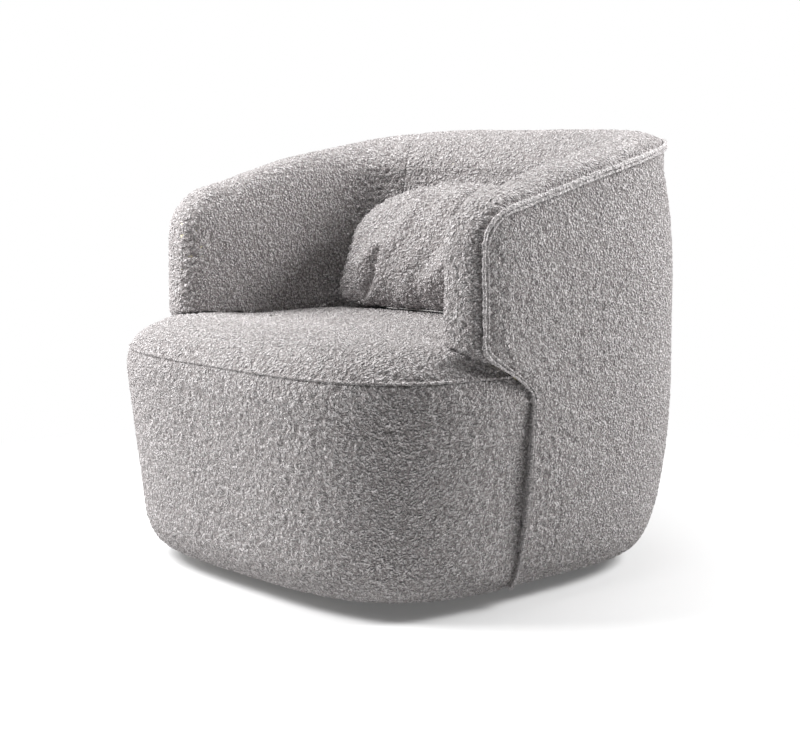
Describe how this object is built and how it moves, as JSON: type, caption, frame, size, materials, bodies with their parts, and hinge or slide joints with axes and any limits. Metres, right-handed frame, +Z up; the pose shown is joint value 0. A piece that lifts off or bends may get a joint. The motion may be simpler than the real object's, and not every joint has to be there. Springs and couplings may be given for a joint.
{
  "type": "tub chair",
  "caption": "Upholstered swivel tub chair in nubbly cloth, with a wrap-round shell, a rolled padded rim, a fixed crowned seat and a loose lumbar pillow.",
  "frame": {"origin": "on the floor, on the swivel's axis, which is the middle of the chair's plan", "axes": "+Z up, the sitter faces -Y, and +X is the right side as seen from the front"},
  "size_m": [0.8708, 0.86, 0.775],
  "materials": {
    "boucle": "looped wool-like cloth, matt",
    "foam": "upholstery foam with a thin wadding",
    "fill": "fibre fill",
    "webbing": "woven elastic webbing",
    "dust_cloth": "thin non-woven cloth",
    "felt": "pressed felt",
    "zip": "woven coil zip",
    "plywood": "raw plywood and solid timber",
    "dark_base": "black stained board",
    "steel": "zinc-plated",
    "brass": "pressed sheet"
  },
  "bodies": {
    "base": {"base_plinth": "dark_base", "felt_glides": "felt", "lower_race": "steel", "base_screws": "steel"},
    "cage": {"ball_cage": "brass", "bearing_balls": "steel"},
    "chair": {"upper_race": "steel", "swivel_bolts": "steel", "tee_nuts": "steel", "bottom_board": "plywood", "dust_cover": "dust_cloth", "base_ribs": "plywood", "seat_rail_front": "plywood", "seat_rail_back": "plywood", "seat_rail_right": "plywood", "seat_rail_left": "plywood", "corner_blocks": "plywood", "webbing_lengthwise": "webbing", "webbing_crosswise": "webbing", "arm_panel_right": "plywood", "arm_panel_left": "plywood", "back_posts": "plywood", "top_rail": "plywood", "outer_board": "plywood", "front_board": "plywood", "lining_board": "plywood", "outer_foam": "foam", "seat_foam": "foam", "border_foam": "foam", "arm_foam_right": "foam", "arm_foam_left": "foam", "back_foam": "foam", "seat_cover": "boucle", "border_cover": "boucle", "outer_cover": "boucle", "arm_cover_right": "boucle", "arm_cover_left": "boucle", "back_cover": "boucle", "rim_welt": "boucle"},
    "pillow": {"pillow_front_panel": "boucle", "pillow_back_panel": "boucle", "pillow_fill": "fill", "pillow_zip": "zip"}
  },
  "joints": [
    {"name": "swivel", "type": "hinge", "parent": "base", "child": "chair", "pos_m": [0, 0, 0.022], "axis": [0, 0, 1], "continuous": true},
    {"name": "cage_orbit", "type": "hinge", "parent": "base", "child": "cage", "pos_m": [0, 0, 0.022], "axis": [0, 0, 1], "continuous": true},
    {"name": "pillow_lift", "type": "slide", "parent": "chair", "child": "pillow", "axis": [0, 0, 1], "range_m": [0, 0.4]}
  ],
  "couplings": [
    {"joint": "cage_orbit", "follows": "swivel", "ratio": 0.5}
  ]
}
